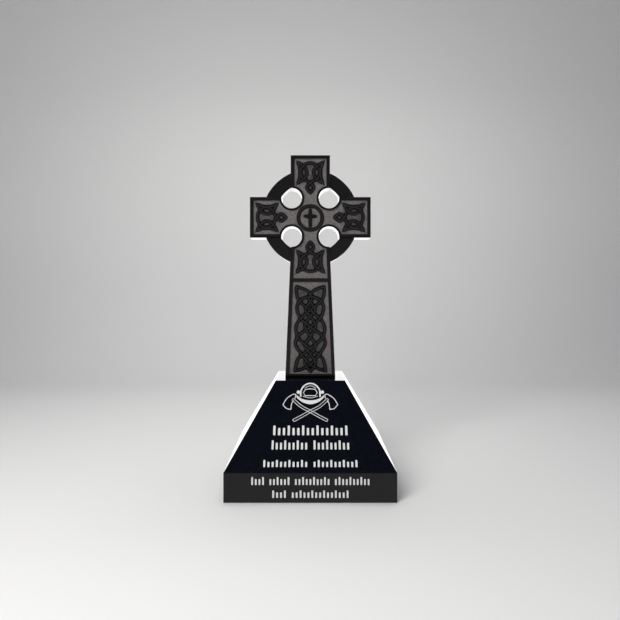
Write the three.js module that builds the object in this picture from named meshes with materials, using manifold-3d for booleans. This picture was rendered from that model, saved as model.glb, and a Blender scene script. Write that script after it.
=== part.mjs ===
// A celtic cross headstone of polished black granite: a ringed cross with carved knotwork, standing on
// a tapered square base. Millimetres, +Z up, origin under the middle of the base, front towards -Y.

import * as THREE from "three";
import { mergeVertices } from "three/addons/utils/BufferGeometryUtils.js";
import Module from "manifold-3d";

const wasm = await Module();
wasm.setup();

// Base: a square band with a tapered block above it
const BASE_WIDTH = 610;
const BAND_HEIGHT = 105;
const TAPER_HEIGHT = 297;
const BASE_TOP_WIDTH = 263;

// Cross: the slab's outline
const CROSS_THICKNESS = 102;
const CENTRE_HEIGHT = 627;
const TOP_RISE = 244;
const ARM_REACH = 237;
const ARM_HEIGHT = 160;
const TOP_ARM_WIDTH = 154;
const SHAFT_TOP_WIDTH = 143;
const SHAFT_FOOT_WIDTH = 196;
const EDGE_CHAMFER = 4.5;

// Round holes beside the centre, and the ring that joins the arms
const HOLE_RADIUS = 40;
const HOLE_OFFSET_X = 73;
const HOLE_OFFSET_Y = 75.5;
const RING_INNER_RADIUS = 141;
const RING_OUTER_RADIUS = 192;
const RING_RECESS = 18;
const RING_CHAMFER = 3;

// Sunk field inside a raised border, with a bar across the shaft
const FIELD_DEPTH = 6;
const BORDER_WIDTH = 14;
const HOLE_RIM = 8.5;
const BAR_DROP = 239;
const BAR_WIDTH = 14;

// Medallion at the centre
const MEDALLION_RADIUS = 52;
const MEDALLION_BAND = 10;
const MEDALLION_DROP = 2;
const SMALL_CROSS_LENGTH = 67;
const SMALL_CROSS_SPAN = 46;
const SMALL_CROSS_WIDTH = 10;
const SMALL_CROSS_ARM_RISE = 6.5;

// Knotwork: the strand
const STRAND_WIDTH = 8.5;
const STRAND_HEIGHT = 5.5;
const STRAND_DIP = 2.5;
const STRAND_STEP = 13;
const CORNER_LIMIT = 1.4;

// Arm motif: shares of the panel's half width, and of its length from the outer end to the medallion
const LOWER_KNOT_LIFT = 11;
const LOOP_HALF_WIDTH = 0.6;
const LOOP_START = 0.09;
const LOOP_END = 0.5;
const LOOP_NECK = 0.53;
const DROP_HALF_WIDTH = 0.22;
const DROP_WIDEST = 0.635;
const DROP_TIP = 0.75;
const CRESCENT_START = 0.08;
const CRESCENT_END = 0.535;
const CRESCENT_OUTSET = 0.78;
const CRESCENT_BACK_SAG = 0.15;
const CRESCENT_FRONT_SAG = 0.58;

// Long panel's strand: shares of the panel's half width, and of its height from the top down
const HIGH_CORNER = [-0.78, 0.05];
const LOW_CORNER = [-0.73, 0.97];
const INNER_WAVE = [
  HIGH_CORNER, [-0.2, 0.095], [0, 0.14], [0.09, 0.18], [0, 0.22], [-0.26, 0.3],
  [0, 0.375], [0.28, 0.47], [0, 0.596], [-0.26, 0.69], [0, 0.785], [0.25, 0.885], [0, 0.978],
];
const OUTER_WAVE = [
  HIGH_CORNER, [-0.78, 0.12], [-0.62, 0.205], [0, 0.307], [0.56, 0.41], [0.75, 0.5],
  [0.6, 0.61], [0, 0.726], [-0.6, 0.84], LOW_CORNER,
];
const ARCH_WAVE = [
  [0, 0.159], [-0.55, 0.2], [-0.73, 0.28], [-0.55, 0.385], [0, 0.491], [0.6, 0.585],
  [0.75, 0.67], [0.5, 0.77], [0, 0.9], [-0.4, 0.95], LOW_CORNER,
];

// Rows of shallow strokes: each row's foot and height as shares of its face's, and the width it spans
const STROKE_DEPTH = 1.2;
const STROKE_SHARE = 0.5;
const LOW_STROKE_SHARE = 0.75;
const TAPER_ROWS = [
  { foot: 0.39, height: 0.105, span: 0.61, groups: [16] },
  { foot: 0.24, height: 0.096, span: 0.56, groups: [9, 9] },
  { foot: 0.06, height: 0.073, span: 0.59, groups: [11, 11] },
];
const BAND_ROWS = [
  { foot: 0.6, height: 0.27, span: 0.69, groups: [4, 6, 10, 10] },
  { foot: 0.17, height: 0.25, span: 0.45, groups: [4, 15] },
];

// Emblem of a helmet over crossed axes, drawn in grooves: shares of its half width and of its height
const EMBLEM_FOOT = 0.54;
const EMBLEM_HEIGHT = 0.44;
const EMBLEM_SPAN = 0.62;
const THIN_GROOVE = 4.5;
const WIDE_GROOVE = 8;
const HANDLE = [[-0.68, 0.58], [-0.32, 0.36], [0, 0.23], [0.5, 0]];
const BLADE = [[-0.68, 0.26], [-0.86, 0.28], [-0.98, 0.37]];
const HEAD = [[-0.98, 0.37], [-0.8, 0.55], [-0.56, 0.69]];
const NECK = [[-0.68, 0.26], [-0.66, 0.42], [-0.7, 0.53]];
const BRIM = [[-0.5, 0.66], [-0.3, 0.5], [0, 0.44], [0.3, 0.5], [0.5, 0.66]];
const DOME = [[-0.34, 0.62], [-0.3, 0.83], [0, 0.97], [0.3, 0.83], [0.34, 0.62]];
const PLATE = [[-0.19, 0.6], [-0.17, 0.79], [0, 0.85], [0.17, 0.79], [0.19, 0.6]];

const GRANITE = { color: 0x17181b, roughness: 0.2, metalness: 0 };
const CIRCLE_STEPS = 64;
const UP = new THREE.Vector3(0, 0, 1);

// Solids from three.js geometry

function solid(geometry) {
  const bare = geometry.clone();
  bare.deleteAttribute("normal");
  bare.deleteAttribute("uv");
  const merged = mergeVertices(bare, 1e-4);
  const vertProperties = new Float32Array(merged.attributes.position.array);
  const triVerts = new Uint32Array(merged.index.array);
  return new wasm.Manifold(new wasm.Mesh({ numProp: 3, vertProperties, triVerts }));
}

function surface(body) {
  const { vertProperties, triVerts } = body.getMesh();
  const geometry = new THREE.BufferGeometry();
  geometry.setAttribute("position", new THREE.BufferAttribute(vertProperties, 3));
  geometry.setIndex(new THREE.BufferAttribute(triVerts, 1));
  return geometry;
}

function mesh(name, body) {
  const flat = surface(body).toNonIndexed();
  flat.computeVertexNormals();
  const result = new THREE.Mesh(flat, new THREE.MeshStandardMaterial(GRANITE));
  result.name = name;
  return result;
}

function extruded(shape, low, high, chamfer = 0) {
  const geometry = new THREE.ExtrudeGeometry(shape, {
    depth: high - low - 2 * chamfer,
    bevelEnabled: chamfer > 0,
    bevelThickness: chamfer,
    bevelSize: chamfer,
    bevelOffset: -chamfer,
    bevelSegments: 1,
    curveSegments: 1,
  });
  return geometry.translate(0, 0, low + chamfer);
}

function prism(...measures) {
  return solid(extruded(...measures));
}

function joined(solids) {
  return solids.reduce((whole, piece) => whole.add(piece));
}

// Plane outlines, with x to the right and y up from the middle of the arms

function arc(centre, radius, from, to, steps) {
  const points = [];
  for (let i = 0; i <= steps; i += 1) {
    const angle = from + ((to - from) * i) / steps;
    points.push(new THREE.Vector2(Math.cos(angle), Math.sin(angle)).multiplyScalar(radius).add(centre));
  }
  return points;
}

function disc(radius) {
  return new THREE.Shape(arc(new THREE.Vector2(), radius, 0, 2 * Math.PI, CIRCLE_STEPS).slice(0, -1));
}

function annulus(outer, inner) {
  const shape = disc(outer);
  shape.holes.push(disc(inner));
  return shape;
}

function rectangle(left, bottom, right, top) {
  const corners = [[left, bottom], [right, bottom], [right, top], [left, top]];
  return new THREE.Shape(corners.map(([x, y]) => new THREE.Vector2(x, y)));
}

function shaftHalfWidth(drop) {
  const share = drop / CENTRE_HEIGHT;
  return THREE.MathUtils.lerp(SHAFT_TOP_WIDTH, SHAFT_FOOT_WIDTH, share) / 2;
}

// The angle at which a hole's circle leaves a side of the cross that runs from a to b
function leavingAngle(centre, radius, a, b) {
  const along = b.clone().sub(a).normalize();
  const foot = a.clone().addScaledVector(along, centre.clone().sub(a).dot(along));
  const reach = Math.sqrt(radius ** 2 - foot.distanceToSquared(centre));
  return foot.addScaledVector(along, reach).sub(centre).angle();
}

// The cross outline drawn inwards from its edge by inset, and round the holes by rim
function crossOutline(inset, rim) {
  const radius = HOLE_RADIUS + rim;
  const top = TOP_RISE - inset;
  const reach = ARM_REACH - inset;
  const armHalf = ARM_HEIGHT / 2 - inset;
  const topHalf = TOP_ARM_WIDTH / 2 - inset;
  const foot = -CENTRE_HEIGHT + inset;
  const shaftSlope = (SHAFT_FOOT_WIDTH - SHAFT_TOP_WIDTH) / (2 * CENTRE_HEIGHT);
  const slant = inset * Math.hypot(1, shaftSlope);
  const shaftAt = (y) => new THREE.Vector2(shaftHalfWidth(-y) - slant, y);

  const high = new THREE.Vector2(HOLE_OFFSET_X, HOLE_OFFSET_Y);
  const low = new THREE.Vector2(HOLE_OFFSET_X, -HOLE_OFFSET_Y);
  const topSide = [new THREE.Vector2(topHalf, 0), new THREE.Vector2(topHalf, top)];
  const armTop = [new THREE.Vector2(0, armHalf), new THREE.Vector2(reach, armHalf)];
  const armBottom = [new THREE.Vector2(0, -armHalf), new THREE.Vector2(reach, -armHalf)];
  const shaftSide = [shaftAt(0), shaftAt(foot)];
  const full = 2 * Math.PI;

  // Each hole is cut from the arm's side round through the cross to the next arm's side
  const highStart = leavingAngle(high, radius, ...armTop);
  const highEnd = leavingAngle(high, radius, ...topSide);
  const lowStart = leavingAngle(low, radius, ...shaftSide);
  const lowEnd = leavingAngle(low, radius, ...armBottom);
  const steps = Math.round((CIRCLE_STEPS * 3) / 8);
  const right = [
    shaftAt(foot),
    ...arc(low, radius, lowStart, lowEnd - (lowEnd > lowStart ? full : 0), steps),
    new THREE.Vector2(reach, -armHalf),
    new THREE.Vector2(reach, armHalf),
    ...arc(high, radius, highStart, highEnd - (highEnd > highStart ? full : 0), steps),
    new THREE.Vector2(topHalf, top),
  ];
  const left = right.map((p) => new THREE.Vector2(-p.x, p.y)).reverse();
  return new THREE.Shape([...right, ...left]);
}

// Knotwork strands: each is a closed list of runs, and neighbouring runs meet in a sharp corner

function run(stations) {
  const points = stations.map(([x, y]) => new THREE.Vector3(x, y, 0));
  return new THREE.CatmullRomCurve3(points, false, "centripetal");
}

function mirrored(stations) {
  return stations.map(([x, y]) => [-x, y]);
}

// The motif of an arm panel: a loop that crosses itself above a drop, between two crescents
function armMotif() {
  const centre = (LOOP_START + LOOP_END) / 2;
  const radius = (LOOP_END - LOOP_START) / 2;
  const circle = [0.28, 0.42, 0.56, 0.7, 0.85].map((turn) => {
    const angle = Math.PI * (0.5 + turn);
    return [LOOP_HALF_WIDTH * Math.cos(angle), centre + radius * Math.sin(angle)];
  });
  const halfLoop = [[0, DROP_TIP], [DROP_HALF_WIDTH, DROP_WIDEST], [0, LOOP_NECK], ...circle];
  const loop = [[...halfLoop, [0, LOOP_START], ...mirrored(halfLoop).reverse()]];

  const bow = (sag) => [0, 0.25, 0.5, 0.75, 1].map((share) => {
    const bend = 4 * share * (1 - share);
    return [CRESCENT_OUTSET - sag * bend, THREE.MathUtils.lerp(CRESCENT_START, CRESCENT_END, share)];
  });
  const back = bow(CRESCENT_BACK_SAG);
  const front = bow(CRESCENT_FRONT_SAG).reverse();
  return [loop, [back, front], [mirrored(back), mirrored(front)]];
}

// The motif in the four arm panels, turned about the middle of the cross
function armKnots() {
  const topHalf = TOP_ARM_WIDTH / 2 - BORDER_WIDTH;
  const armHalf = ARM_HEIGHT / 2 - BORDER_WIDTH;
  const panels = [
    { outer: TOP_RISE - BORDER_WIDTH, half: () => topHalf },
    { outer: ARM_REACH - BORDER_WIDTH, half: () => armHalf },
    { outer: BAR_DROP - LOWER_KNOT_LIFT, half: (y) => shaftHalfWidth(y) - BORDER_WIDTH },
    { outer: ARM_REACH - BORDER_WIDTH, half: () => armHalf },
  ];
  return panels.map(({ outer, half }, quarters) => {
    const turn = (quarters * Math.PI) / 2;
    const place = ([u, v]) => {
      const y = THREE.MathUtils.lerp(outer, MEDALLION_RADIUS, v);
      return new THREE.Vector3(u * half(y), y, 0).applyAxisAngle(UP, turn).toArray();
    };
    return armMotif().map((strand) => strand.map((stations) => run(stations.map(place))));
  });
}

function shaftKnot() {
  const top = -(BAR_DROP + BAR_WIDTH);
  const foot = -CENTRE_HEIGHT + BORDER_WIDTH;
  const place = ([u, v]) => {
    const y = THREE.MathUtils.lerp(top, foot, v);
    return [u * (shaftHalfWidth(-y) - BORDER_WIDTH), y];
  };
  const inner = INNER_WAVE.map(place);
  const outer = OUTER_WAVE.map(place);
  const arch = ARCH_WAVE.map(place);
  const runs = [
    inner,
    mirrored(inner).reverse(),
    mirrored(outer),
    [...mirrored(arch).reverse(), ...arch.slice(1)],
    [...outer].reverse(),
  ];
  return [runs.map(run)];
}

// Each strand as one closed row of samples, with the place where each of its runs begins
function sampled(strand) {
  const points = [];
  const starts = [];
  strand.forEach((curve) => {
    const steps = Math.max(4, Math.round(curve.getLength() / STRAND_STEP));
    starts.push(points.length);
    points.push(...curve.getSpacedPoints(steps).slice(0, -1));
  });
  return { points, starts };
}

// Where two straight pieces of strand cross in plan, as shares along each, or null
function crossing(a, b, c, d) {
  const r = b.clone().sub(a);
  const s = d.clone().sub(c);
  const gap = c.clone().sub(a);
  const area = r.x * s.y - r.y * s.x;
  if (Math.abs(area) < 1e-9) return null;
  const t = (gap.x * s.y - gap.y * s.x) / area;
  const u = (gap.x * r.y - gap.y * r.x) / area;
  return t >= 0 && t < 1 && u >= 0 && u < 1 ? [t, u] : null;
}

// Every crossing between two strands, or of a strand with itself, as places counted in samples
function crossings(first, second) {
  const same = first === second;
  const places = [];
  first.forEach((a, m) => {
    const b = first[(m + 1) % first.length];
    for (let n = same ? m + 2 : 0; n < second.length; n += 1) {
      const wraps = same && (n + 1) % second.length === m;
      const shares = wraps ? null : crossing(a, b, second[n], second[(n + 1) % second.length]);
      if (shares) places.push([m + shares[0], n + shares[1]]);
    }
  });
  return places;
}

// Makes each strand go over and under by turns: a sorted list of its passes for each strand
function weave(strands) {
  const passes = strands.map(() => []);
  for (let i = 0; i < strands.length; i += 1) {
    for (let j = i; j < strands.length; j += 1) {
      crossings(strands[i].points, strands[j].points).forEach(([m, n]) => {
        const one = { at: m, over: null };
        const two = { at: n, over: null, other: one };
        one.other = two;
        passes[i].push(one);
        passes[j].push(two);
      });
    }
  }
  passes.forEach((list) => list.sort((p, q) => p.at - q.at));
  const waiting = [...passes];
  while (waiting.length > 0) {
    const tied = waiting.findIndex((list) => list.some((pass) => pass.over !== null));
    const [list] = waiting.splice(Math.max(tied, 0), 1);
    const known = Math.max(list.findIndex((pass) => pass.over !== null), 0);
    const first = list[known]?.over ?? true;
    list.forEach((pass, i) => {
      pass.over = (i - known) % 2 === 0 ? first : !first;
      pass.other.over = !pass.over;
    });
  }
  return passes;
}

// The height of a strand's top above the field, rising and dipping between its passes
function strandTop(passes, count, at) {
  if (passes.length === 0) return STRAND_HEIGHT;
  const level = (pass) => (pass.over ? STRAND_HEIGHT : STRAND_HEIGHT - STRAND_DIP);
  const last = passes[passes.length - 1];
  const round = [{ ...last, at: last.at - count }, ...passes, { ...passes[0], at: passes[0].at + count }];
  const next = round.findIndex((pass) => pass.at > at);
  const [from, to] = [round[next - 1], round[next]];
  const share = (at - from.at) / (to.at - from.at);
  return THREE.MathUtils.lerp(level(from), level(to), (1 - Math.cos(Math.PI * share)) / 2);
}

// A bar of square section along a row of points, from the level low up to a top at each point
function rib(points, width, low, tops) {
  const vertices = [];
  const faces = [];
  const last = points.length - 1;
  points.forEach((point, i) => {
    const along = points[Math.min(i + 1, last)].clone().sub(points[Math.max(i - 1, 0)]).normalize();
    const side = new THREE.Vector3().crossVectors(UP, along).multiplyScalar(width / 2);
    const left = point.clone().add(side);
    const right = point.clone().sub(side);
    vertices.push(left.x, left.y, low, right.x, right.y, low);
    vertices.push(right.x, right.y, tops[i], left.x, left.y, tops[i]);
    if (i === last) return;
    for (let corner = 0; corner < 4; corner += 1) {
      const [a, b] = [4 * i + corner, 4 * i + ((corner + 1) % 4)];
      faces.push(a, a + 4, b + 4, a, b + 4, b);
    }
  });
  const end = 4 * last;
  faces.push(0, 1, 2, 0, 2, 3, end, end + 2, end + 1, end, end + 3, end + 2);
  const geometry = new THREE.BufferGeometry();
  geometry.setAttribute("position", new THREE.Float32BufferAttribute(vertices, 3));
  geometry.setIndex(faces);
  return geometry;
}

// The pointed outside of a corner, where one run arrives from before and the next leaves to after
function cornerPoint(before, corner, after, width, low, high) {
  const arriving = corner.clone().sub(before).normalize();
  const leaving = after.clone().sub(corner).normalize();
  const turn = Math.sign(arriving.x * leaving.y - arriving.y * leaving.x);
  const outward = (way) => new THREE.Vector3(way.y, -way.x, 0).multiplyScalar((turn * width) / 2);
  const one = outward(arriving);
  const two = outward(leaving);
  const half = one.angleTo(two) / 2;
  const tip = one.clone().add(two).setLength(Math.min(width / 2 / Math.cos(half), width * CORNER_LIMIT));
  const inside = tip.clone().multiplyScalar(-0.3);
  const around = [inside, one, tip, two].map((p) => new THREE.Vector2(corner.x + p.x, corner.y + p.y));
  return prism(new THREE.Shape(around), low, high);
}

// Every strand of one knot as solids standing on the field
function knot(strands) {
  const rows = strands.map(sampled);
  const passes = weave(rows);
  const field = CROSS_THICKNESS / 2 - FIELD_DEPTH;
  const low = field - 1;
  return rows.flatMap(({ points, starts }, index) => {
    const count = points.length;
    const tops = points.map((_, i) => field + strandTop(passes[index], count, i));
    const pieces = starts.map((start, i) => {
      const end = starts[i + 1] ?? count;
      const places = [];
      for (let at = start; at <= end; at += 1) places.push(at % count);
      const along = places.map((at) => points[at]);
      return solid(rib(along, STRAND_WIDTH, low, places.map((at) => tops[at])));
    });
    const corners = starts.map((at) => {
      const before = points[(at + count - 1) % count];
      return cornerPoint(before, points[at], points[(at + 1) % count], STRAND_WIDTH, low, tops[at]);
    });
    return [...pieces, ...corners];
  });
}

// Pieces

function celticCross() {
  const front = CROSS_THICKNESS / 2;
  const field = front - FIELD_DEPTH;
  const ringFace = front - RING_RECESS;
  const slab = prism(crossOutline(0, 0), -front, front, EDGE_CHAMFER);
  const bar = rectangle(-SHAFT_FOOT_WIDTH, -BAR_DROP - BAR_WIDTH, SHAFT_FOOT_WIDTH, -BAR_DROP);
  const sunk = prism(crossOutline(BORDER_WIDTH, HOLE_RIM), field, front + 1);
  const ring = prism(annulus(RING_OUTER_RADIUS, RING_INNER_RADIUS), -ringFace, ringFace, RING_CHAMFER);
  const body = slab.subtract(sunk.subtract(prism(bar, field - 1, front + 2))).add(ring);

  const low = field - 1;
  const high = field + STRAND_HEIGHT;
  const half = SMALL_CROSS_WIDTH / 2;
  const length = SMALL_CROSS_LENGTH / 2;
  const span = SMALL_CROSS_SPAN / 2;
  const rise = SMALL_CROSS_ARM_RISE;
  const medallion = [
    prism(annulus(MEDALLION_RADIUS, MEDALLION_RADIUS - MEDALLION_BAND), low, high),
    prism(rectangle(-half, -length, half, length), low, high),
    prism(rectangle(-span, rise - half, span, rise + half), low, high),
  ].map((part) => part.translate([0, -MEDALLION_DROP, 0]));
  const carved = [...medallion, ...[...armKnots(), shaftKnot()].flatMap(knot)];
  const piece = mesh("celtic_cross", body.add(joined(carved)));
  piece.geometry.rotateX(Math.PI / 2);
  piece.position.z = BAND_HEIGHT + TAPER_HEIGHT + CENTRE_HEIGHT;
  return piece;
}

// A row of upright strokes on a face, every third one taller than the rest
function strokeRow({ foot, height, span, groups }, face) {
  const low = foot * face.length;
  const rise = height * face.length;
  const length = span * face.width(low + rise / 2);
  const cells = groups.reduce((sum, count) => sum + count, groups.length - 1);
  const pitch = length / cells;
  const half = (pitch * STROKE_SHARE) / 2;
  let place = (pitch - length) / 2;
  let number = 0;
  const strokes = [];
  groups.forEach((count) => {
    for (let i = 0; i < count; i += 1) {
      const top = low + rise * (number % 3 === 0 ? 1 : LOW_STROKE_SHARE);
      strokes.push(extruded(rectangle(place - half, low, place + half, top), -STROKE_DEPTH, 1));
      place += pitch;
      number += 1;
    }
    place += pitch;
  });
  return strokes;
}

// Grooves along the smooth lines of the emblem on a face, its axes drawn twice as mirror images
function emblem(face) {
  const low = EMBLEM_FOOT * face.length;
  const high = EMBLEM_HEIGHT * face.length;
  const half = (EMBLEM_SPAN * face.width(low + high / 2)) / 2;
  const groove = (stations, width, steps) => {
    const points = run(stations.map(([u, v]) => [u * half, low + v * high])).getSpacedPoints(steps);
    return rib(points, width, -STROKE_DEPTH, points.map(() => 1));
  };
  const handle = [HANDLE, WIDE_GROOVE, 6];
  const axe = [handle, [BLADE, THIN_GROOVE, 3], [HEAD, THIN_GROOVE, 4], [NECK, THIN_GROOVE, 2]];
  const helmet = [[BRIM, WIDE_GROOVE, 7], [DOME, WIDE_GROOVE, 9], [PLATE, THIN_GROOVE, 7]];
  const otherAxe = axe.map(([stations, ...measures]) => [mirrored(stations), ...measures]);
  return [...axe, ...otherAxe, ...helmet].map((line) => groove(...line));
}

function taperedBase() {
  const corners = (width, height) => {
    const half = width / 2;
    return [-half, half].flatMap((x) => [-half, half].map((y) => [x, y, height]));
  };
  const block = wasm.Manifold.hull([
    ...corners(BASE_WIDTH, 0),
    ...corners(BASE_WIDTH, BAND_HEIGHT),
    ...corners(BASE_TOP_WIDTH, BAND_HEIGHT + TAPER_HEIGHT),
  ]);

  // Grooves are drawn on a level sheet, which is then stood up against its face
  const inward = (BASE_WIDTH - BASE_TOP_WIDTH) / 2;
  const lean = Math.atan2(inward, TAPER_HEIGHT);
  const taperFace = {
    length: Math.hypot(inward, TAPER_HEIGHT),
    width: (up) => BASE_WIDTH - 2 * up * Math.sin(lean),
  };
  const bandFace = { length: BAND_HEIGHT, width: () => BASE_WIDTH };
  const standing = (grooves, tilt, height) => {
    const level = surface(joined(grooves.map(solid)));
    return solid(level.rotateX(Math.PI / 2 - tilt).translate(0, -BASE_WIDTH / 2, height));
  };
  const onTaper = [...TAPER_ROWS.flatMap((row) => strokeRow(row, taperFace)), ...emblem(taperFace)];
  const onBand = BAND_ROWS.flatMap((row) => strokeRow(row, bandFace));
  const cut = standing(onTaper, lean, BAND_HEIGHT).add(standing(onBand, 0, 0));
  return mesh("tapered_base", block.subtract(cut));
}

const headstone = new THREE.Group();
headstone.add(celticCross());
headstone.add(taperedBase());

export default headstone;
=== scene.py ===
"""A celtic cross headstone of black granite: polished on its raised faces, sandblasted in its field."""

import math

import bmesh
import bpy
from bpy.props import FloatProperty, FloatVectorProperty, IntProperty, PointerProperty
from mathutils import Matrix, Vector
from mathutils.geometry import delaunay_2d_cdt, interpolate_bezier, tessellate_polygon
from mathutils.kdtree import KDTree


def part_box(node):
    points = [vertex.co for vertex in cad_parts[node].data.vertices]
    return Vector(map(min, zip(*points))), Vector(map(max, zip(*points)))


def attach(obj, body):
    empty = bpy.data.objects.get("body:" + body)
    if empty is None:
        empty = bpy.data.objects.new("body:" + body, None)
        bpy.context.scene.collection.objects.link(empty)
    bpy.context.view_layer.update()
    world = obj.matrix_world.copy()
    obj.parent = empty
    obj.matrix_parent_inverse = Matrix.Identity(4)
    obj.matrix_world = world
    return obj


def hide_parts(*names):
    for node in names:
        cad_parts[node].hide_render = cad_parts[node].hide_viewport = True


bl_info = {
    "name": "Celtic Cross Headstone",
    "version": (1, 0, 0),
    "blender": (4, 5, 0),
    "location": "View3D > Sidebar > Headstone",
    "description": "Builds a carved granite celtic cross on its tapered base",
    "category": "Add Mesh",
}

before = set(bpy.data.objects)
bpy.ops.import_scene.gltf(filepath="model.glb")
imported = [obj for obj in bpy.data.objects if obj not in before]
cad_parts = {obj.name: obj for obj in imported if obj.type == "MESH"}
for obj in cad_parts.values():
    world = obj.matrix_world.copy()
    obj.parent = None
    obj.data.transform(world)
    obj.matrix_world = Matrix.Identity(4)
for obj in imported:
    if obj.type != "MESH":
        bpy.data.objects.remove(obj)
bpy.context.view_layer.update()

MM = 0.001
CROSS_LOW, CROSS_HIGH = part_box("celtic_cross")
BASE_LOW, BASE_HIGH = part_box("tapered_base")
BASE_WIDTH = BASE_HIGH.x - BASE_LOW.x
BASE_HEIGHT = BASE_HIGH.z
ARM_REACH = CROSS_HIGH.x
THICKNESS = CROSS_HIGH.y - CROSS_LOW.y
CROSS_HEIGHT = CROSS_HIGH.z - CROSS_LOW.z


def linear(code):
    """An sRGB hex colour as the linear red, green and blue that Blender's sockets take."""
    channels = [int(code[i : i + 2], 16) / 255 for i in (1, 3, 5)]
    return [c / 12.92 if c <= 0.04045 else ((c + 0.055) / 1.055) ** 2.4 for c in channels]


def millimetres(name, description, default, low=0.0, high=2000.0):
    """A length property whose default is given in millimetres."""
    return FloatProperty(
        name=name,
        description=description,
        default=default * MM,
        min=low * MM,
        max=high * MM,
        subtype="DISTANCE",
        unit="LENGTH",
    )


def share(name, description, default):
    """A property from nought to one."""
    return FloatProperty(name=name, description=description, default=default, min=0, max=1, subtype="FACTOR")


def colour(name, description, code):
    """A colour property whose default is an sRGB hex code."""
    return FloatVectorProperty(
        name=name,
        description=description,
        default=linear(code),
        size=3,
        min=0,
        max=1,
        subtype="COLOR",
    )


class SlabSettings(bpy.types.PropertyGroup):
    """Sizes of the cross, its ring and its sunk field"""

    centre_height: millimetres("Centre height", "Middle of the arms above the foot", 627)
    arm_height: millimetres("Arm height", "Height of the side arms", 160)
    top_arm_width: millimetres("Top arm width", "Width of the upper arm", 154)
    shaft_top_width: millimetres("Shaft top width", "Shaft width at the middle of the arms", 143)
    shaft_foot_width: millimetres("Shaft foot width", "Shaft width at the foot", 196)
    chamfer: millimetres("Edge chamfer", "Chamfer round the outline, front and back", 4.5)
    hole_radius: millimetres("Hole radius", "Radius of the four holes", 40)
    hole_offset_x: millimetres("Hole offset across", "Holes' middle from the upright's axis", 73)
    hole_offset_y: millimetres("Hole offset up", "Holes' middle from the arms' axis", 75.5)
    ring_inner: millimetres("Ring inner radius", "Inside of the ring", 141)
    ring_outer: millimetres("Ring outer radius", "Outside of the ring", 192)
    ring_recess: millimetres("Ring recess", "Ring's face behind the cross's face", 18)
    ring_chamfer: millimetres("Ring chamfer", "Chamfer of the ring's edges", 3)
    field_depth: millimetres("Field depth", "Depth of the sunk field", 6)
    border: millimetres("Border width", "Raised border round the outline", 14)
    rim: millimetres("Hole rim", "Raised rim round each hole", 8.5)
    bar_drop: millimetres("Bar drop", "Top of the bar below the middle of the arms", 239)
    bar_width: millimetres("Bar width", "Height of the bar across the shaft", 14)


class CarvingSettings(bpy.types.PropertyGroup):
    """Sizes of the strands, the medallion and the small cross"""

    strand_width: millimetres("Strand width", "Width of a strand of the knotwork", 8.5)
    strand_height: millimetres("Strand height", "Strand's top above the field", 5.5)
    strand_dip: millimetres("Strand dip", "How far a strand sinks where it passes under", 2.5)
    # Painted shade: the field inside a knot is darkened by this share where strands enclose it
    shade: share("Enclosed shade", "How much darker the field is inside a knot", 0.6)
    strand_step: millimetres("Strand step", "Distance between cross-sections of a strand", 2.2)
    crown: millimetres("Crown", "Rise of a strand's rounded top above its flanks", 1.8)
    floor_step: millimetres("Field step", "Distance between the field's points", 3)
    hollow_and_painted_shade: millimetres("Hollow", "How far the field is dished beside the strands", 0.8)
    medallion_radius: millimetres("Medallion radius", "Outside of the medallion's band", 52)
    medallion_band: millimetres("Medallion band", "Width of the medallion's band", 10)
    medallion_drop: millimetres("Medallion drop", "Its middle below the arms' middle", 2)
    small_cross_length: millimetres("Small cross length", "Height of the small cross", 67)
    small_cross_span: millimetres("Small cross span", "Width of the small cross's arms", 46)
    small_cross_width: millimetres("Small cross width", "Width of the small cross's bars", 10)
    small_cross_rise: millimetres("Small cross rise", "Its arms above the medallion's middle", 6.5)
    lower_lift: millimetres("Lower knot lift", "Lower arm's knot above the bar", 11)


class BaseSettings(bpy.types.PropertyGroup):
    """Sizes of the tapered base and of its strokes and emblem"""

    band_height: millimetres("Band height", "Upright band at the foot", 105)
    top_width: millimetres("Top width", "Side of the flat top", 263)
    arris: millimetres("Arris", "Rounding of the base's edges", 1.6)
    stroke_depth: millimetres("Stroke depth", "Depth of the strokes and the emblem's lines", 1.2)
    stroke_share: share("Stroke share", "Width of a stroke as a share of its pitch", 0.5)
    low_stroke_share: share("Low stroke", "Height of a low stroke as a share of a tall one", 0.75)
    fine_groove: millimetres("Fine groove", "Finest lines of the emblem", 2.4)
    thin_groove: millimetres("Thin groove", "Thin lines of the emblem", 3.4)
    wide_groove: millimetres("Wide groove", "Wide lines of the emblem", 6)
    handle_width: millimetres("Handle width", "Width of an axe's handle", 9)
    knob_radius: millimetres("Knob radius", "Radius of the knobs beside the helmet", 7)


class FinishSettings(bpy.types.PropertyGroup):
    """Colours of the stone, of the paint in the strokes and of the stage"""

    polished: colour("Polished granite", "Polished faces", "#08080a")
    crystal: colour("Crystal fleck", "Paler crystals in the polished stone", "#141519")
    blasted: colour("Sandblasted granite", "Field between the carving", "#625e5d")
    # Painted shade: the field close beside a strand is darkened towards this colour, standing in for the
    # shade the raised strands cast there
    hollow_and_painted_shade: colour("Hollow granite", "Field close beside a strand, cut by hand", "#0d0c0c")
    honed: colour("Honed granite", "Rounded tops of the strands", "#1a1817")
    paint: colour("Paint", "White paint in the strokes", "#d8d8d6")
    floor: colour("Floor", "Floor and backdrop", "#e6e5e3")


class StageSettings(bpy.types.PropertyGroup):
    """Camera and lights"""

    camera_distance: millimetres("Camera distance", "Camera to the middle of the base", 2455, 100, 20000)
    camera_height: millimetres("Camera height", "Camera above the floor", 766, 0, 20000)
    focal_pixels: FloatProperty(name="Focal length", description="In pixels of the picture", default=613.7)
    horizon_row: FloatProperty(name="Horizon row", description="Pixel row of the horizon", default=284.4)
    centre_column: FloatProperty(name="Centre column", description="Pixel column of the axis", default=310.3)
    picture_side: IntProperty(name="Picture side", description="Side of the square picture", default=620)


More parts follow.
